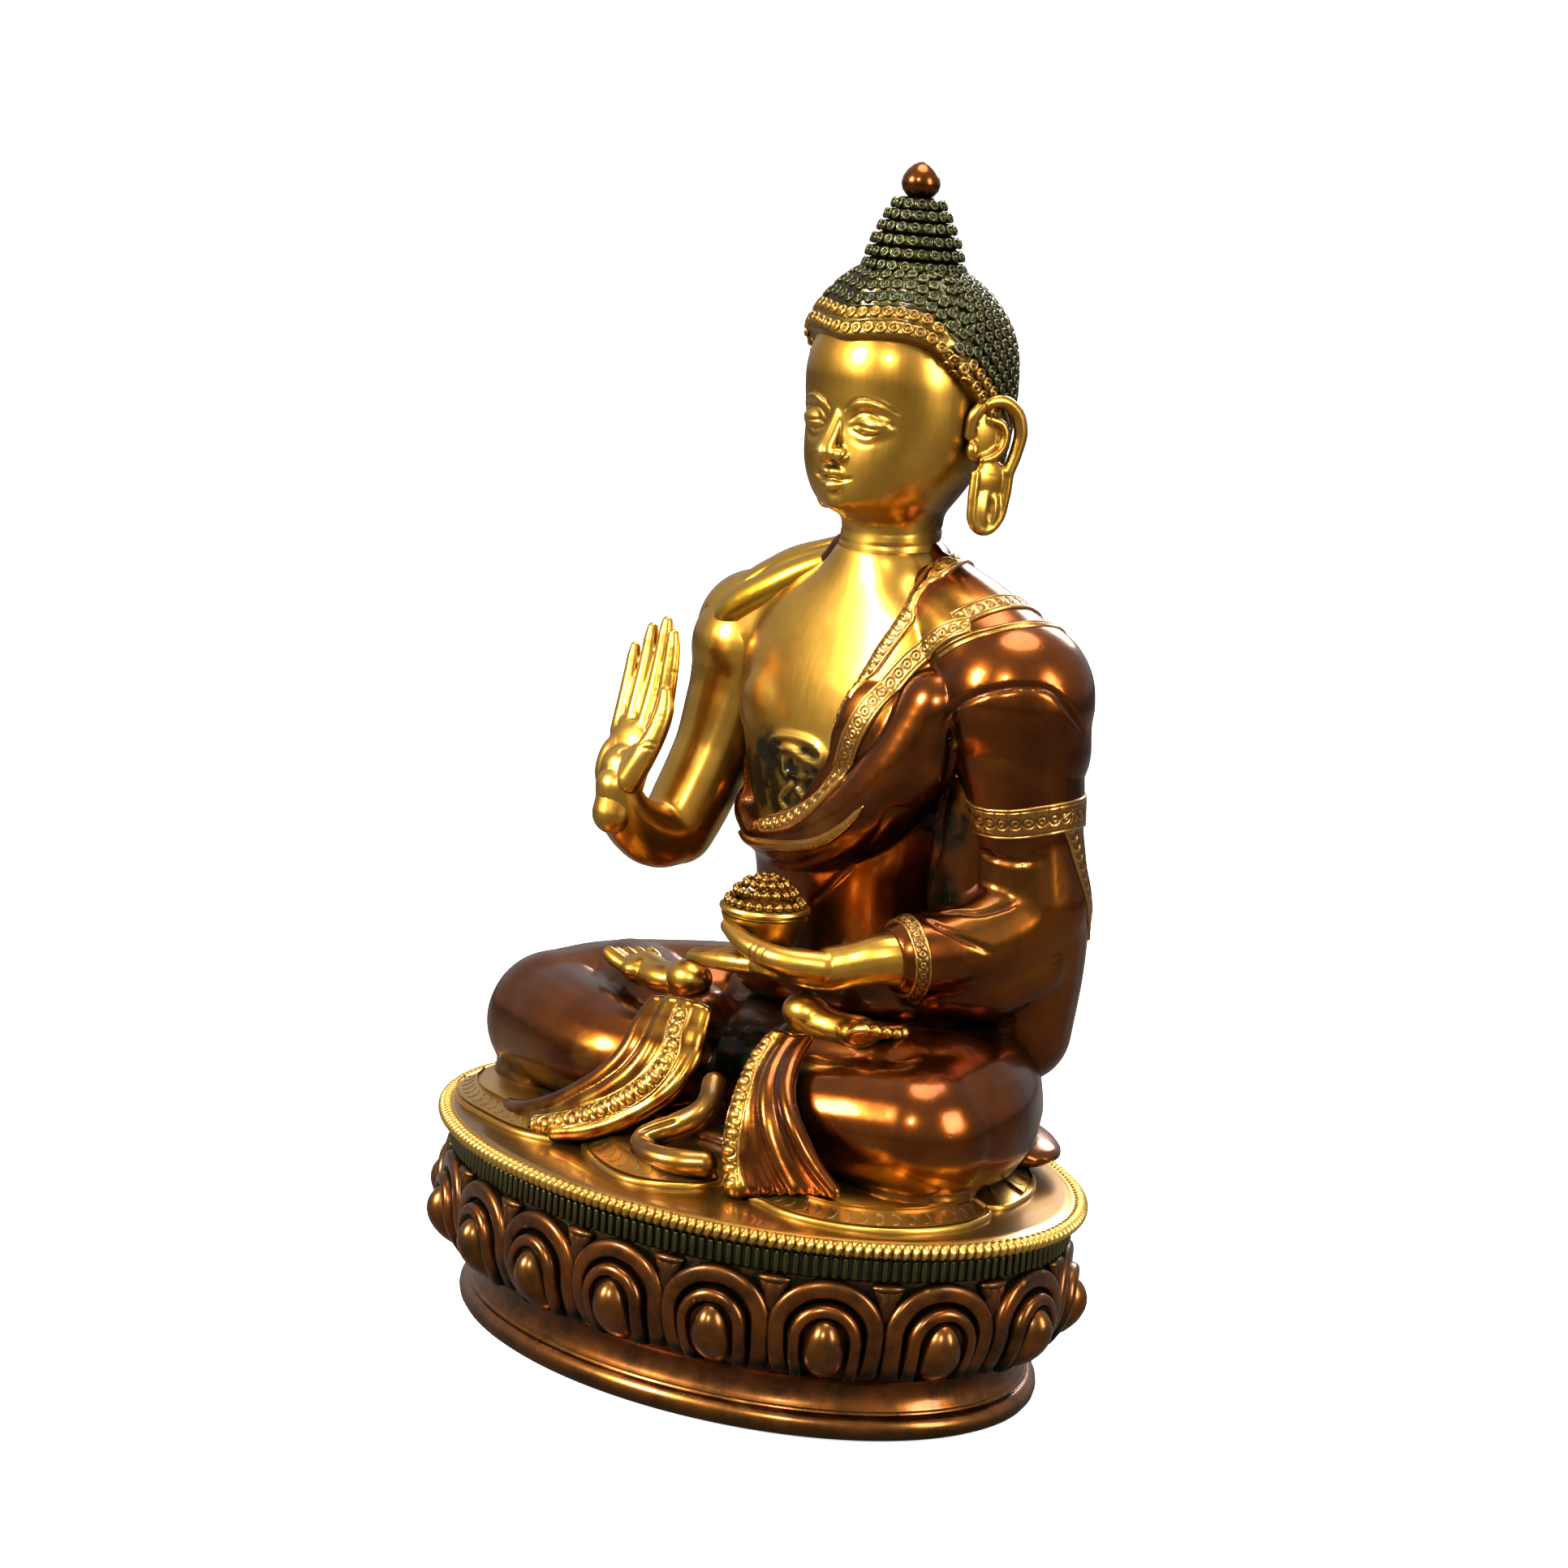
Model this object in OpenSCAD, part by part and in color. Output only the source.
// Seated Buddha on a lotus base, cast brass, built from separate fitted pieces.
// The base rests on z = 0, the figure faces -Y and +Z is up.

/* [Overall] */
// Height of the seated figure above its seat plate, finial included
figure_h = 248.2; // [200:0.1:300]
// Height of the lotus base, floor to the top of the seat plate
base_h = 51.8; // [43:0.1:62.5]
// Length of the seat plate as a share of the figure's height
plate_spread = 0.7575; // [0.74:0.0005:0.9]
// Depth of the seat plate as a share of its length
plate_ratio = 0.727; // [0.71:0.001:0.85]

/* [Lotus base] */
// Number of petals round the base
petal_count = 18; // [14:1:22]
// How far the outer petals stand out from the drum
petal_d = 3.4; // [2.5:0.1:4.5]
// How far the inner petals stand out from the outer ones
leaf_d = 3; // [2:0.1:4]
// How far the domed bosses stand out from the inner petals
boss_d = 3.4; // [2:0.1:4.5]
// Wall thickness of the base rings
wall = 5; // [4:0.1:7]
// Number of upright flutes round the band under the plate
flute_count = 200; // [120:1:240]
// Spacing of the beads round the rim
bead_pitch = 2.3; // [1.8:0.1:3.5]

/* [Figure] */
// Radius of each shoulder
shoulder_r = 18; // [16:0.1:20]
// Radius of the lower robe round the knees
knee_r = 18; // [16:0.1:19.5]
// Radius of the offering bowl's mouth
bowl_r = 11; // [9:0.1:13]
// Largest radius of the finial
finial_r = 5; // [4:0.1:6]
// Thickness of the robe hem that lies on the plate
hem_t = 1.4; // [1:0.1:2]
// Thickness of the mantle over the body
mantle_t = 1.8; // [1.2:0.1:2.4]

/* [Joints] */
// Brazing clearance between a peg and its socket
fit_gap = 0.12; // [0.08:0.01:0.3]
// Radius of the waist peg that stands in the lap
waist_r = 14; // [10:0.1:17]
// Radius of the neck peg that stands in the collar
neck_peg_r = 8; // [6:0.1:9.8]
// Radius of the shoulder pegs
arm_peg_r = 6; // [4:0.1:8]
// Radius of the wrist peg of the raised hand
wrist_peg_r = 3; // [2:0.1:3.8]
// Radius of the peg under the hair
crown_peg_r = 8; // [5:0.1:10]
// Radius of the finial's peg
finial_peg_r = 2; // [1.4:0.1:3]
// Radius of the fixing screws' shanks
screw_r = 2.4; // [1.8:0.1:3.2]

/* [Hidden] */
$fn = 64;

seat0 = 51.8;
fs = figure_h / 248.2;
lift = base_h / seat0;
gap = fit_gap / fs;
plate_w = figure_h * plate_spread;
pr = plate_w / 2;
foot_z = 7 * lift;
cove_z = 16.5 * lift;
drum_z = 42 * lift;
band_z = 48 * lift;
foot_r = pr - 9.2;
neck_r = pr - 13.2;
drum_r = pr - 6;
band_r = pr - 1.7;
rim_in = pr - 4.5;
core_r = neck_r - wall;
lip_t = 2.4;
step_r = drum_r - wall;
lap_floor = seat0 + hem_t;
torso_z = 87;
neck_z = 201;
cut_x = 36;
screw_at = [[-61, 0], [61, 0]];
hair_y = 8;
hair_z = 251;
hair_slope = 29;

brass = [0.78, 0.6, 0.27];
copper = [0.45, 0.2, 0.1];
umber = [0.36, 0.2, 0.1];
patina = [0.2, 0.2, 0.12];

// A point on the base's oval at a turn and a long radius
function oval_at(t, r) = [r * cos(t), r * plate_ratio * sin(t)];
// Distance walked round a unit oval at each degree
walk = [for (i = 0, s = 0; i <= 360;
    s = s + norm(oval_at(i + 1, 1) - oval_at(i, 1)), i = i + 1) [s, i]];
function turn_at(part) = lookup((part - floor(part)) * walk[360][0], walk);
function hump(x, z, cx, cz, sx, sz) = exp(-pow((x - cx) / sx, 2) - pow((z - cz) / sz, 2));
function ease(v) = v <= 0 ? 0 : v >= 1 ? 1 : v * v * (3 - 2 * v);

module oval(r) {
    polygon([for (t = [0:5:355]) oval_at(t, r)]);
}

// An oval disc between two heights
module oval_disc(r, z0, z1) {
    translate([0, 0, z0])
        linear_extrude(z1 - z0)
            oval(r);
}

// An oval moulding whose radius follows a list of [radius, height]
module oval_moulding(profile) {
    loft([for (p = profile) [for (t = [0:5:355]) [p[0] * cos(t), p[0] * plate_ratio * sin(t), p[1]]]]);
}

// A solid skinned over a stack of rings with equal point counts
module loft(rings) {
    n = len(rings[0]);
    m = len(rings);
    pts = [for (r = rings) for (p = r) p];
    sides = [for (j = [0:m - 2]) for (i = [0:n - 1]) let (a = j * n + i, b = j * n + (i + 1) % n)
        each [[a, a + n, b], [b, a + n, b + n]]];
    low = [for (i = [1:n - 2]) [0, i, i + 1]];
    high = [for (i = [1:n - 2]) [(m - 1) * n, (m - 1) * n + i + 1, (m - 1) * n + i]];
    polyhedron(pts, concat(sides, low, high), convexity = 8);
}

module ball(c, r, n = 20) {
    translate(c)
        sphere(r, $fn = n);
}

module limb(a, ra, b, rb, n = 20) {
    hull() {
        ball(a, ra, n);
        ball(b, rb, n);
    }
}

module egg(c, s, turn = [0, 0, 0], n = 24) {
    hull()
        translate(c)
            rotate(turn)
                scale(s)
                    sphere(1, $fn = n);
}

module seated() {
    translate([0, 0, base_h])
        scale(fs)
            translate([0, 0, -seat0])
                children();
}

// ---- lotus base ----

module foot_ring() {
    roll = [for (a = [-60:24:60]) [foot_r - 3.2 + 3.2 * cos(a), foot_z / 2 + foot_z / 2.2 * sin(a)]];
    color(umber)
        difference() {
            union() {
                oval_moulding(concat([[foot_r - 3.4, 0]], roll, [[foot_r - 4, foot_z]]));
                oval_disc(core_r, foot_z / 2, foot_z + 2.5);
            }
            oval_disc(core_r - lip_t, -1, foot_z + 3);
        }
}

// One corner of the drum, between two petals
function corner(i) = oval_at(turn_at(0.75 + (i - 0.98) / petal_count + 0.0129), drum_r);

module drum_block(z0, z1) {
    translate([0, 0, z0])
        linear_extrude(z1 - z0)
            polygon([for (i = [0:petal_count - 1]) corner(i)]);
}

module drum() {
    cove = [for (s = [0:0.2:1]) [neck_r + 2 * (1 - s) + (drum_r - 3 - neck_r) * s
        - 2.4 * sin(180 * s), foot_z + (cove_z + 0.5 - foot_z) * s]];
    color(patina)
        difference() {
            union() {
                oval_moulding(cove);
                drum_block(cove_z, drum_z);
            }
            oval_disc(core_r + fit_gap, foot_z - 1, drum_z);
            oval_disc(step_r, cove_z + 3, drum_z + 1);
        }
}

// Puts a piece on the drum's flat number i: x along the flat, -y outwards
module on_flat(i) {
    a = corner(i);
    b = corner(i + 1);
    translate([(a[0] + b[0]) / 2, (a[1] + b[1]) / 2, 0])
        rotate(atan2(b[1] - a[1], b[0] - a[0]))
            children();
}

function flat_w(i) = norm(corner(i + 1) - corner(i));

// A round leaf on the drum's flat: radius w at its back, depth y0 to y1, thinning to its edge
module petal_slice(w, slope, zc, y0, y1) {
    set = (w * w - pow(w - slope, 2) - pow(y1 - y0, 2)) / (2 * (y1 - y0));
    intersection() {
        translate([0, set - y0, zc])
            sphere(norm([w, set]), $fn = 96);
        translate([-w - 1, -y1, cove_z + 0.1])
            cube([2 * w + 2, y1 - y0, drum_z - cove_z - 0.5]);
    }
}

module outer_petals() {
    color(umber)
        for (i = [0:petal_count - 1])
            on_flat(i)
                petal_slice(flat_w(i) / 2 - 0.15, 3, 28 * lift, 0, petal_d);
}

module inner_petals() {
    color(umber)
        for (i = [0:petal_count - 1])
            on_flat(i)
                petal_slice(flat_w(i) * 0.36, 2.6, 27 * lift, petal_d, petal_d + leaf_d);
}

module petal_bosses() {
    color(copper)
        for (i = [0:petal_count - 1])
            on_flat(i)
                petal_slice(flat_w(i) * 0.22, flat_w(i) * 0.2, 26 * lift,
                    petal_d + leaf_d, petal_d + leaf_d + boss_d);
}

// Pointed leaf tips on the drum's corners, between the petals
module petal_spears() {
    color(patina)
        for (i = [0:petal_count - 1])
            difference() {
                translate(concat(corner(i), [0]))
                    rotate_extrude($fn = 32)
                        polygon([[0, 33.6 * lift], [2.6, 39 * lift], [1.8, drum_z - 0.4],
                            [0, drum_z - 0.4]]);
                drum_block(cove_z, drum_z + 1);
            }
}

module fluted_band() {
    color(patina)
        union() {
            translate([0, 0, drum_z])
                linear_extrude(band_z - drum_z)
                    difference() {
                        polygon([for (i = [0:2 * flute_count - 1])
                            oval_at(turn_at(i / (2 * flute_count)), band_r - 0.9 * (i % 2))]);
                        oval(step_r - lip_t);
                    }
            translate([0, 0, drum_z - 2])
                linear_extrude(3)
                    difference() {
                        oval(step_r - fit_gap);
                        oval(step_r - lip_t);
                    }
        }
}

module beaded_rim() {
    beads = round(walk[360][0] * pr / bead_pitch);
    dip = [0.8, 0.2, 0, 0.2];
    color(brass)
        translate([0, 0, band_z])
            linear_extrude((base_h - band_z) * 0.86)
                difference() {
                    polygon([for (i = [0:beads - 1]) for (j = [0:3])
                        oval_at(turn_at((i + j / 4) / beads), pr - dip[j])]);
                    oval(rim_in);
                }
}

module seat_plate() {
    color(brass)
        difference() {
            union() {
                oval_disc(rim_in - fit_gap, band_z, base_h);
                oval_disc(step_r - lip_t - fit_gap, band_z - 2.5, band_z);
            }
            oval_disc(step_r - 3 * lip_t, band_z - 3, band_z);
            for (p = screw_at)
                translate([p[0] * fs, p[1] * fs, band_z - 4])
                    cylinder(r = screw_r + fit_gap, h = base_h);
        }
}

module fixing_screws() {
    color(brass)
        for (p = screw_at)
            translate([p[0] * fs, p[1] * fs, 0]) {
                translate([0, 0, band_z - 3])
                    cylinder(r = screw_r * 1.9, h = 3);
                translate([0, 0, band_z - 1])
                    cylinder(r = screw_r, h = base_h - band_z + 1 + 11 * fs);
            }
}

// ---- lower body ----

module screw_holes() {
    for (p = screw_at)
        translate([p[0], p[1], seat0 - 1])
            cylinder(r = (screw_r + fit_gap) / fs, h = 13);
}

module robe_hem() {
    color(brass)
        seated()
            difference() {
                translate([0, 0, seat0])
                    linear_extrude(hem_t) {
                        translate([0, 13])
                            scale([74, 42])
                                circle(1);
                        translate([49, -15])
                            scale([27, 22])
                                circle(1);
                        translate([-57, -20])
                            scale([26, 27])
                                circle(1);
                        translate([7, -36])
                            scale([16, 19])
                                circle(1);
                        translate([-40, -38])
                            scale([14, 14])
                                circle(1);
                    }
                screw_holes();
            }
}

// The crossed legs under the robe, before the floor and the sockets are cut
module legs() {
    limb([-34, 36, 71], 22, [-62, 2, 71], 19.5);
    limb([34, 36, 71], 22, [62, 2, 71], 19.5);
    hull() {
        ball([-66, -12, 70], knee_r);
        ball([-28, -22, 68], 15);
        ball([-30, 6, 76], 15);
    }
    hull() {
        ball([65, -13, 70], knee_r);
        ball([28, -23, 68], 15);
        ball([30, 6, 76], 15);
    }
    hull() {
        ball([-30, -20, 68], 14);
        ball([30, -20, 68], 14);
        ball([0, 10, 74], 15);
    }
    egg([0, 36, 68], [48, 25, 27]);
}

// The sealed hollow left by the casting core
module lap_core() {
    hull()
        for (s = [-1, 1]) {
            ball([s * 42, -2, 70], 11);
            ball([s * 30, 30, 67], 8.5);
            ball([s * 24, -18, 68], 8);
        }
}

module lap() {
    color(copper)
        seated()
            difference() {
                legs();
                translate([0, 0, lap_floor - 60])
                    cube([300, 300, 120], center = true);
                translate([0, 32, torso_z])
                    scale([1, 0.76, 1])
                        cylinder(r = 36.5, h = 40);
                translate([0, 32, torso_z - 5])
                    cylinder(r = waist_r + gap, h = 7);
                lap_core();
                screw_holes();
            }
}

// One fold of cloth, from the lap's edge down to the plate
module fold(path, r) {
    for (i = [0:len(path) - 2])
        limb(path[i], r, path[i + 1], r, 12);
}

module clear_of_legs() {
    difference() {
        children();
        legs();
        translate([0, 0, lap_floor - 60])
            cube([300, 300, 120], center = true);
    }
}

module front_pleats() {
    color(copper)
        seated()
            difference() {
                clear_of_legs()
                    for (i = [0:3])
                        fold([[-24 + 6.5 * i, -21, 84], [-22 + 6 * i, -33, 76],
                            [-23 + 4 * i, -36, 66], [-36 + 4.5 * i, -43 + 2 * i, 54]], 2.8);
                lay_left_foot()
                    sole(gap);
            }
}

module side_pleats() {
    color(copper)
        seated()
            clear_of_legs()
                for (i = [0:2])
                    fold([[20 + 5 * i, -25, 84], [19 + 4.5 * i, -37, 74],
                        [19 + 4 * i, -38.5, 64], [17 + 5 * i, -42, 54]], 2.6);
}

// A bare foot, sole up: heel at the origin, toes along +x
module sole(grow = 0) {
    hull() {
        ball([0, 0, 0], 5.4 + grow, 16);
        ball([17, 3.2, -0.6], 4.2 + grow, 16);
        ball([16, -4.6, -0.6], 4 + grow, 16);
    }
    for (i = [0:4])
        limb([18, 4.6 - 2.5 * i, -0.5], 1.9 + grow, [24.5 - 0.9 * i, 5.2 - 2.7 * i, -0.3], 1.7 + grow, 12);
}

module lay_left_foot() {
    translate([-22, -7, 91])
        rotate([0, 0, 177])
            children();
}

module left_foot() {
    color(brass)
        seated()
            clear_of_legs()
                lay_left_foot()
                    sole();
}

module right_foot() {
    color(brass)
        seated()
            clear_of_legs()
                translate([21, -7, 90.8])
                    rotate([0, 2, 6])
                        sole();
}

// ---- upper body ----

// Each row: height, centre depth, half width, half depth
body_rows = [[87, 32.5, 34, 24.5], [96, 32, 31, 22.5], [106, 31, 28, 19.8], [116, 31, 27.5, 19],
    [128, 31, 30, 20.5], [142, 31, 35, 21.6], [156, 31, 39.5, 22], [168, 31, 42.5, 22],
    [178, 31, 42, 21], [186, 31, 37, 18.5], [192, 31, 27, 16], [197, 31, 18.5, 14.6],
    [201, 31, 14.8, 13.8]];

function body_ring(r, grow) = [for (a = [0:10:350])
    [(r[2] + grow) * cos(a), r[1] + (r[3] + grow) * sin(a), r[0]]];

module body(grow) {
    loft([for (r = body_rows) body_ring(r, grow)]);
}

module side_cuts(x) {
    for (s = [-1, 1])
        translate([s * (x + 50), 31, 140])
            cube([100, 140, 160], center = true);
}

module torso() {
    color(brass)
        seated()
            difference() {
                union() {
                    body(0);
                    translate([0, 32, torso_z - 4.5])
                        cylinder(r = waist_r, h = 8);
                }
                side_cuts(cut_x - 0.2);
                translate([0, 31, neck_z - 12])
                    cylinder(r = neck_peg_r + gap, h = 20);
                translate([-60, 31, 172])
                    rotate([0, 90, 0])
                        cylinder(r = arm_peg_r + gap, h = 33);
                translate([27, 31, 172])
                    rotate([0, 90, 0])
                        cylinder(r = arm_peg_r + gap, h = 33);
                hull() {
                    ball([0, 31, 102], 10);
                    ball([-17, 31, 150], 11);
                    ball([17, 31, 150], 11);
                }
            }
}

// The robe over the left shoulder, the back and the belly
module mantle() {
    color(copper)
        seated()
            difference() {
                body(mantle_t);
                body(gap / 2);
                side_cuts(cut_x - 0.2);
                rotate([90, 0, 0])
                    translate([0, 0, -31])
                        linear_extrude(60)
                            polygon([[26, 210], [25, 202], [-9, 131], [-60, 118], [-60, 210]]);
                translate([0, 0, lap_floor])
                    cube([200, 200, 2 * (torso_z + gap - lap_floor)], center = true);
                translate([0, 31, neck_z - 3])
                    cylinder(r = 40, h = 20);
            }
}

module arm_peg(side) {
    translate([side * (cut_x + 1), 31, 172])
        rotate([0, -90 * side, 0])
            cylinder(r = arm_peg_r, h = 9);
}

module left_arm() {
    color(copper)
        seated()
            union() {
                difference() {
                    union() {
                        limb([46, 31, 172], shoulder_r, [51, 34, 145], 13.6);
                        limb([51, 34, 145], 13.6, [52.5, 34, 124], 14.3);
                        limb([52.5, 33, 122], 13.6, [44, 4, 110], 9.2);
                    }
                    translate([cut_x - 50, 0, 140])
                        cube([100, 140, 160], center = true);
                    clear_of_cuff();
                }
                arm_peg(1);
            }
}

// Flat end of the left cuff, where the hand butts against it
module clear_of_cuff() {
    translate([42.4, -1, 109.4])
        rotate([0, 0, 16])
            translate([-20, -40, -30])
                cube([40, 40, 60]);
}

module right_arm() {
    color(brass)
        seated()
            difference() {
                union() {
                    difference() {
                        union() {
                            limb([-45, 30, 171], shoulder_r - 1.6, [-47, 22, 145], 11);
                            limb([-47, 22, 145], 11, [-48, 12, 125], 10);
                            limb([-48, 12, 125], 9.6, [-47.5, -6, 126.5], 8);
                            limb([-47.5, -6, 126.5], 8, [-47.3, -11, 133], 6.6);
                        }
                        translate([50 - cut_x, 0, 140])
                            cube([100, 140, 160], center = true);
                        translate([-47.3, -12.5, 133])
                            rotate([-18, 0, 0])
                                translate([-20, -20, 0])
                                    cube([40, 40, 30]);
                    }
                    arm_peg(-1);
                }
                translate([-47.3, -12.5, 133])
                    rotate([-18, 0, 0])
                        translate([0, 0, -7])
                            cylinder(r = wrist_peg_r + gap, h = 8);
            }
}

// The raised hand, palm to the front: built upright on its wrist
module right_hand() {
    tips = [[5.2, -2.2, 45], [0.6, 0, 48], [-4, 0.6, 46], [-8.4, 0.8, 39.5]];
    color(brass)
        seated()
            translate([-47.3, -12.5, 133])
                rotate([-18, 0, 0])
                    union() {
                        difference() {
                            union() {
                                hull() {
                                    ball([3.2, 0.4, 2], 4.6);
                                    ball([-3.2, 0.6, 2], 4.4);
                                    ball([5, 0.4, 20], 3.5);
                                    ball([-7.4, 1.2, 18], 3.3);
                                }
                                for (i = [0:3])
                                    limb([4.8 - 4.1 * i, 0.8, 20.5 - 0.6 * i], 2.5, tips[i], 2, 14);
                                limb([6.2, -2.4, 6], 3.4, [9.4, -1.4, 17], 2.7, 14);
                                limb([9.4, -1.4, 17], 2.7, [8.4, -2.6, 28], 2.1, 14);
                            }
                            translate([-20, -20, -20 + gap / 2])
                                cube([40, 40, 20]);
                        }
                        translate([0, 0, -6])
                            cylinder(r = wrist_peg_r, h = 8);
                    }
}

// The resting hand, palm up under the bowl
module left_hand() {
    color(brass)
        seated()
            difference() {
                union() {
                    limb([42.4, -1.8, 109], 6.6, [32, -4, 106.5], 5.6, 16);
                    hull() {
                        ball([32, -4, 106], 5.4, 16);
                        ball([10, -12.5, 102.5], 3.8, 16);
                        ball([10, 1, 102.5], 3.8, 16);
                    }
                    for (i = [0:3])
                        limb([9, -12.6 + 4.3 * i, 102.2], 2.7, [-13 + abs(i - 1.4), -14 + 4.2 * i, 100.3], 2.1, 12);
                    limb([24, -11, 107], 3, [8, -18, 107], 2.3, 12);
                }
                translate([0, 0, 105 + 10])
                    translate([3, -6, 0])
                        cube([2 * bowl_r * 0.62, 2 * bowl_r * 0.62, 20], center = true);
                translate([42.4, -1, 109.4])
                    rotate([0, 0, 16])
                        translate([-20, -gap / 2, -30])
                            cube([60, 60, 60]);
            }
}

module alms_bowl() {
    color(brass)
        seated()
            translate([3, -6, 105])
                rotate_extrude()
                    polygon([[0, 0], [bowl_r * 0.52, 0], [bowl_r * 0.5, 1], [bowl_r * 0.72, 4],
                        [bowl_r * 0.9, 7.4], [bowl_r, 9.6], [bowl_r * 0.94, 10], [bowl_r * 0.78, 7.4],
                        [bowl_r * 0.6, 4.6], [0, 3]]);
}

module bowl_heap() {
    color(brass)
        seated()
            translate([3, -6, 105])
                rotate_extrude()
                    polygon(concat([[0, 3.1], [bowl_r * 0.59, 4.7], [bowl_r * 0.77, 7.5],
                        [bowl_r * 0.93, 10.1]], [for (a = [10:10:80])
                        [bowl_r * 0.93 * cos(a), 10.1 + 7.6 * sin(a)]], [[0, 17.7]]));
}

// ---- head ----

// Half width, front depth and back depth of the head by height
wide = [[201, 13.4], [208, 12.4], [212, 12.8], [215, 14.6], [219, 17.4], [224, 19.6], [231, 21.4],
    [239, 22.4], [248, 22.8], [256, 22.2], [262, 20]];
front = [[201, 12.6], [208, 11.8], [211.5, 12.6], [213.2, 17.4], [215, 20.6], [219, 22.2],
    [226, 22.8], [236, 23.4], [246, 24], [256, 22.6], [262, 20]];
back = [[201, 13], [208, 13.2], [214, 15.4], [222, 19.6], [232, 23.6], [242, 25.6], [252, 25.4],
    [262, 21]];

// How far the calm, plain face stands out in front of the smooth head
function face(x, z) =
    4.6 * exp(-pow(x / (1.5 + 1.6 * ease((238 - z) / 10)), 2)) * ease((243 - z) / 15)
        * ease((z - 225) / 2)
    + 1.3 * (hump(x, z, 3.1, 227.6, 1.6, 1.5) + hump(x, z, -3.1, 227.6, 1.6, 1.5))
    + 0.9 * (hump(abs(x), z, 8.6, 239.8 - pow((abs(x) - 8) / 7, 2) * 1.6, 6.4, 1.1))
    + 1.5 * hump(abs(x), z, 9.2, 235.6, 4.4, 1.9)
    - 0.8 * hump(abs(x), z, 9.2, 234.4, 4, 0.6)
    - 1.1 * hump(abs(x), z, 3.8, 237, 1.8, 2.2)
    + 1.6 * hump(x, z, 0, 222.9, 4.6, 0.9)
    + 1.7 * hump(x, z, 0, 220.3, 3.8, 1)
    - 0.9 * hump(x, z, 0, 221.6, 5, 0.5)
    + 1.8 * hump(x, z, 0, 215.6, 4.2, 2.2)
    - 0.6 * hump(x, z, 0, 218.3, 3.6, 0.8)
    - 0.5 * hump(x, z, 0, 225, 0.9, 1.2);

// Turns round the head, closer together over the face
head_turns = concat([for (i = [-16:16]) asin(i / 16.2)], [for (i = [1:13]) 90 + i * 180 / 14]);

function head_ring(z) = [for (t = head_turns) let (x = lookup(z, wide) * sin(t), c = cos(t))
    [x, 31 - (c > 0 ? c * lookup(z, front) + face(x, z) * ease(c * 2.2) : c * lookup(z, back)), z]];

head_levels = concat([201, 204, 206, 209, 211.4], [for (i = [0:30]) 213 + i * 1.3], [256, 262]);

// Everything above the sloping line where the hair begins
module above_hairline(shift) {
    translate([0, hair_y, hair_z + shift])
        rotate([-hair_slope, 0, 0])
            translate([-60, -40, 0])
                cube([120, 140, 60]);
}

module head() {
    color(brass)
        seated()
            difference() {
                union() {
                    difference() {
                        loft([for (z = head_levels) head_ring(z)]);
                        above_hairline(0);
                    }
                    translate([0, 31, neck_z - 10])
                        cylinder(r = neck_peg_r, h = 14);
                    translate([0, 33, 230])
                        cylinder(r = crown_peg_r, h = 18);
                }
                for (s = [-1, 1])
                    ear_peg(s, 1.4 + gap);
            }
}

hair_w = [[212, 17], [220, 20.6], [230, 24.4], [240, 26.6], [250, 27], [257, 25.6], [262, 22.6],
    [266, 18.4], [269, 13.6]];
hair_f = [[212, 17], [236, 24], [244, 25.6], [252, 25.8], [258, 23.4], [263, 19.6], [266, 16.6],
    [269, 13.4]];
hair_b = [[212, 18], [222, 23.6], [232, 27], [244, 28.6], [252, 28], [258, 25.6], [263, 21.4],
    [266, 18], [269, 13.6]];

function hair_ring(z, i) = [for (a = [0:9:351]) let (g = i % 2 ? 0.35 : -0.35)
    [(lookup(z, hair_w) + g) * sin(a), 31 - cos(a) * ((cos(a) > 0 ? lookup(z, hair_f)
        : lookup(z, hair_b)) + g), z]];

module hair_cap() {
    color(patina)
        seated()
            difference() {
                intersection() {
                    loft([for (i = [0:28]) hair_ring(213 + 2 * i, i)]);
                    above_hairline(gap / 2);
                }
                translate([0, 33, 220])
                    cylinder(r = crown_peg_r + gap, h = 28.5);
                for (s = [-1, 1])
                    translate([s * 33.2, 34, 226])
                        cube([20, 20, 42], center = true);
                translate([0, 31, 264])
                    cylinder(r = 6 + gap, h = 10);
            }
}

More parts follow.
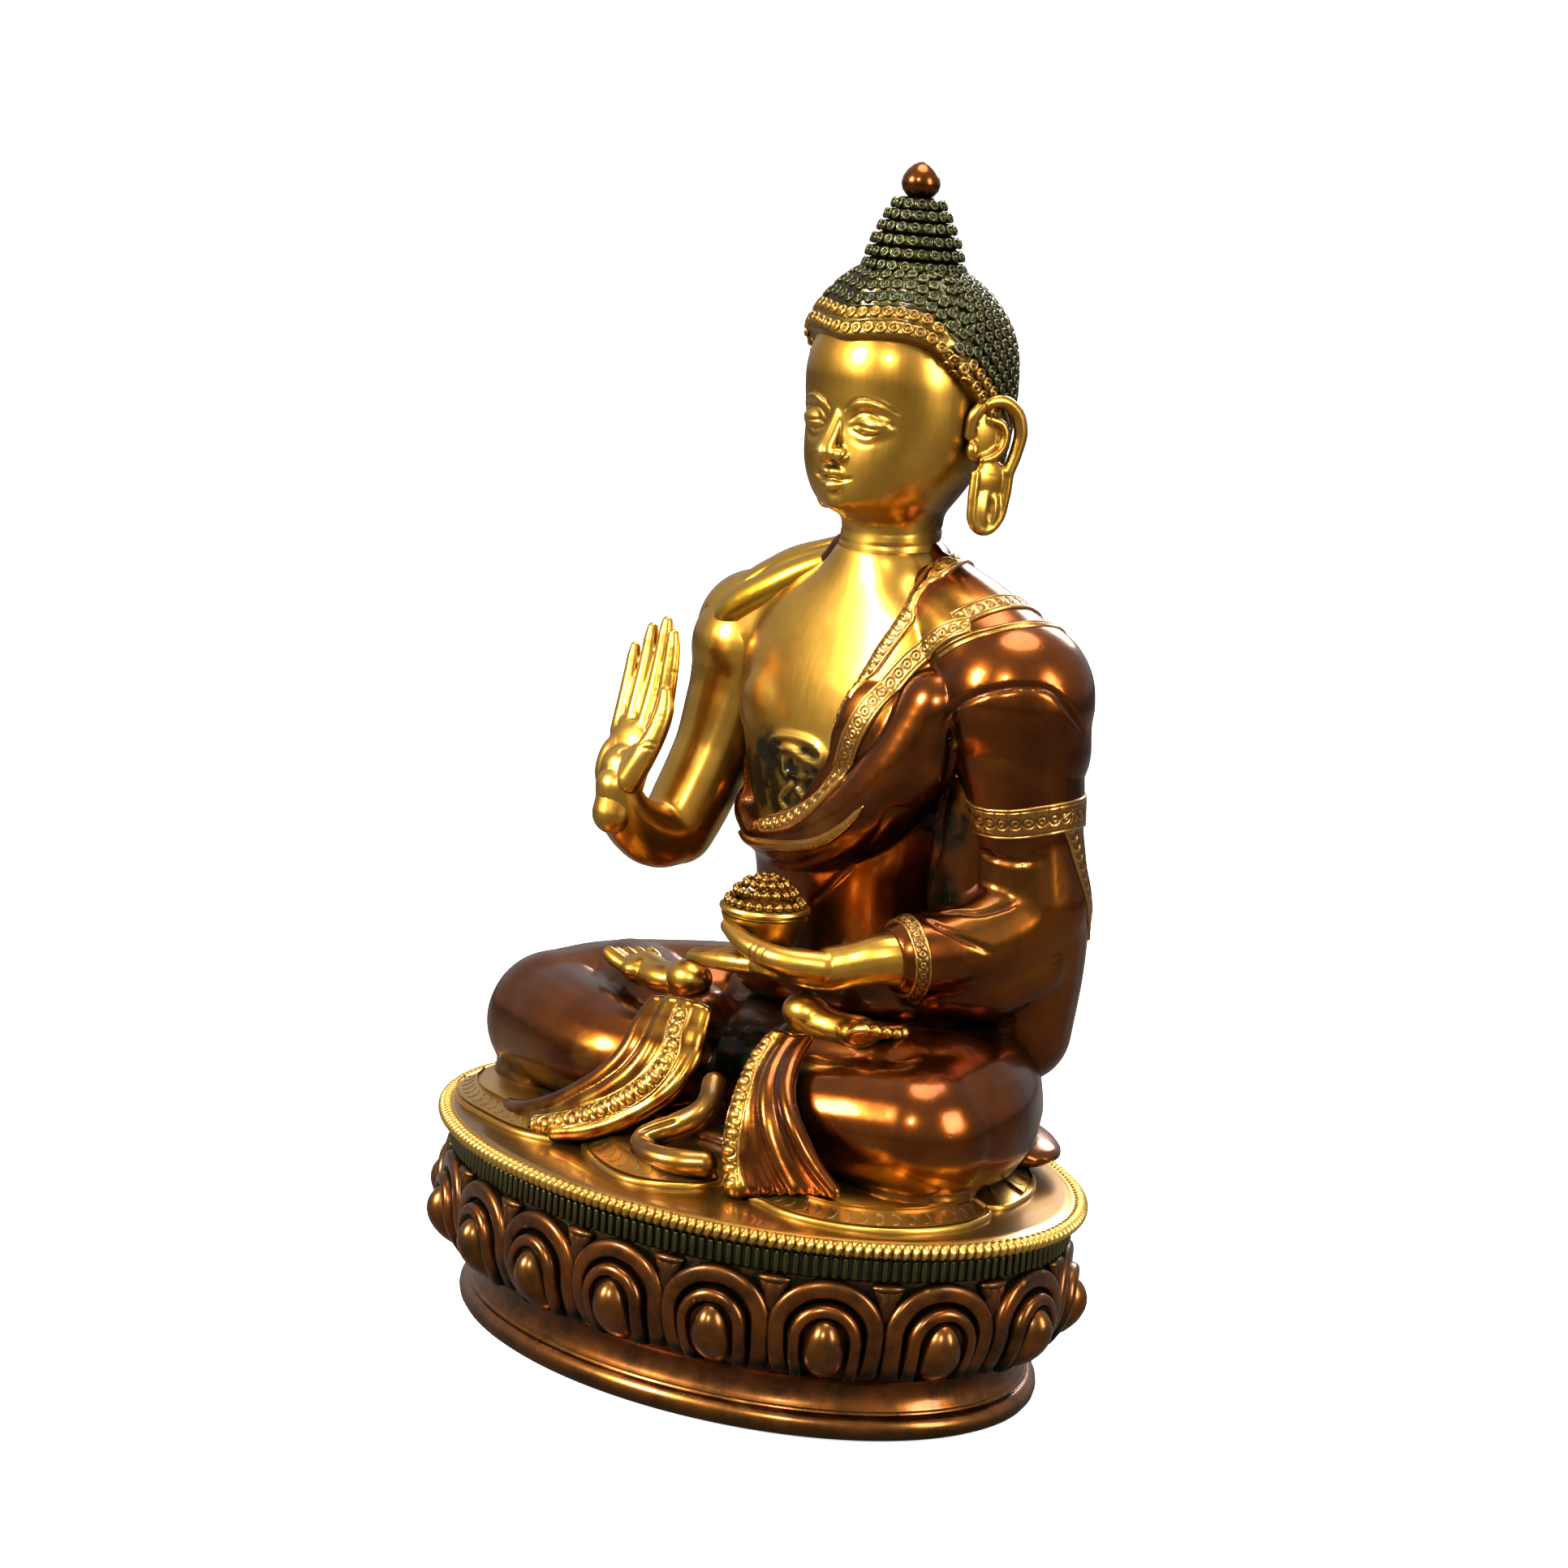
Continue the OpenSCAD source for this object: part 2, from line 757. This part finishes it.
module ushnisha() {
    rows = 6;
    shell = [for (i = [0:rows - 1]) for (a = [-60:30:60])
        let (r0 = 13.2 - i * 1.35, z0 = 269 + (i + 0.5) * 3.6)
        [r0 - 0.9 + 0.9 * cos(a) - (a + 60) * 0.01, z0 + 1.8 * sin(a)]];
    color(patina)
        seated()
            difference() {
                translate([0, 31, 0])
                    union() {
                        rotate_extrude()
                            polygon(concat([[0, 269], [13, 269]], shell, [[0, 290.6]]));
                        translate([0, 0, 264.5])
                            cylinder(r = 6, h = 6);
                    }
                translate([0, 31, 284])
                    cylinder(r = finial_peg_r + gap, h = 10);
            }
}

module finial() {
    color(copper)
        seated()
            translate([0, 31, 290.7])
                union() {
                    rotate_extrude()
                        polygon([[0, 0], [finial_r * 0.72, 0], [finial_r * 0.92, 1.4],
                            [finial_r, 3], [finial_r * 0.94, 4.4], [finial_r * 0.66, 6.4],
                            [finial_r * 0.36, 8.3], [finial_r * 0.16, 9.1], [0, 9.3]]);
                    translate([0, 0, -6])
                        cylinder(r = finial_peg_r, h = 8);
                }
}

module ear_peg(s, r) {
    translate([s * 17, 33, 228])
        rotate([0, 90 * s, 0])
            cylinder(r = r, h = 8.4);
}

// A long-lobed ear with a slit lobe, standing off the side of the head
module ear(s) {
    union() {
        translate([s > 0 ? 23.3 : -27, 34, 0])
            rotate([90, 0, 90])
                linear_extrude(3.7)
                    difference() {
                        union() {
                            translate([0, 235.5])
                                scale([7.2, 8.6])
                                    circle(1);
                            translate([-1.2, 221])
                                scale([5, 12])
                                    circle(1);
                            translate([-0.8, 214])
                                circle(4.4);
                        }
                        translate([-1.2, 211.6])
                            square([1.3, 12]);
                    }
        ear_peg(s, 1.4);
    }
}

module left_ear() {
    color(brass)
        seated()
            ear(1);
}

module right_ear() {
    color(brass)
        seated()
            ear(-1);
}

foot_ring();
drum();
outer_petals();
inner_petals();
petal_bosses();
petal_spears();
fluted_band();
beaded_rim();
seat_plate();
fixing_screws();
robe_hem();
lap();
front_pleats();
side_pleats();
left_foot();
right_foot();
torso();
mantle();
left_arm();
right_arm();
left_hand();
right_hand();
alms_bowl();
bowl_heap();
head();
hair_cap();
ushnisha();
finial();
left_ear();
right_ear();
